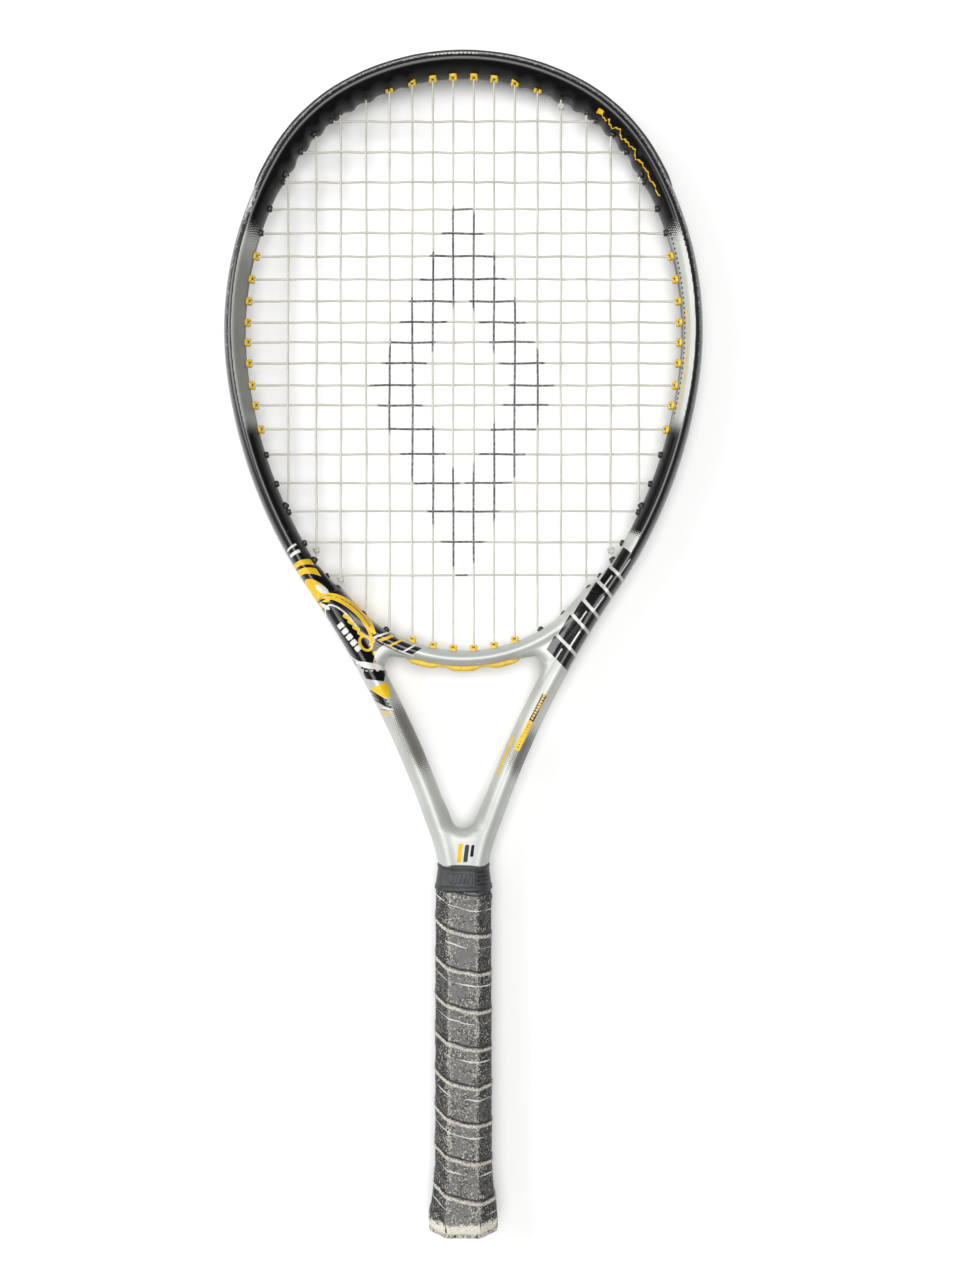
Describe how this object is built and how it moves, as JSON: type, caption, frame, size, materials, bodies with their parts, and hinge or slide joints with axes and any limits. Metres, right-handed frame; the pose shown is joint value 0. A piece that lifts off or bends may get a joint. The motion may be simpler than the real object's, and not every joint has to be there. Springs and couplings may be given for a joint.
{
  "type": "tennis racket",
  "caption": "Strung tennis racket with an oversize oval head, an open throat and a wrapped octagonal handle, lying flat.",
  "frame": {"origin": "middle of the racket's length and width, on the surface that it lies on", "axes": "+Y along the racket from the butt to the tip, +Z the normal of the string plane, +X across the head"},
  "size_m": [0.2892, 0.7109, 0.0368],
  "materials": {
    "painted_composite": "gloss lacquer over carbon composite, black fading to silver, scuffed",
    "silver_composite": "satin silver lacquer over carbon composite",
    "black_nylon": "moulded nylon, scuffed",
    "yellow_nylon": "moulded nylon",
    "string": "synthetic gut, slightly translucent, with black stencil ink",
    "handle_foam": "moulded polyurethane foam",
    "cap_plastic": "moulded plastic",
    "staple_steel": "plain",
    "base_grip": "cushioned synthetic leather",
    "overgrip": "worn tacky wrap with frayed edges",
    "tape": "adhesive tape",
    "collar_rubber": "moulded rubber"
  },
  "bodies": {
    "racket": {"frame_tube": "painted_composite", "throat_bridge": "silver_composite", "bumper_guard": "black_nylon", "side_strip_right": "black_nylon", "side_strip_left": "black_nylon", "shoulder_grommets": "black_nylon", "top_grommets": "yellow_nylon", "right_grommets": "yellow_nylon", "left_grommets": "yellow_nylon", "throat_strip": "yellow_nylon", "main_string": "string", "cross_string": "string", "main_knot_right": "string", "main_knot_left": "string", "cross_knot_start": "string", "cross_knot_end": "string", "handle_pallet_front": "handle_foam", "handle_pallet_back": "handle_foam", "butt_cap": "cap_plastic", "cap_staples": "staple_steel", "grip_staple": "staple_steel", "base_grip": "base_grip", "overgrip": "overgrip", "finishing_tape": "tape", "grip_collar": "collar_rubber"},
    "door": {"butt_cap_door": "cap_plastic"}
  },
  "joints": [
    {"name": "door_pull", "type": "slide", "parent": "racket", "child": "door", "axis": [0, -1, 0], "range_m": [0, 0.03]}
  ]
}
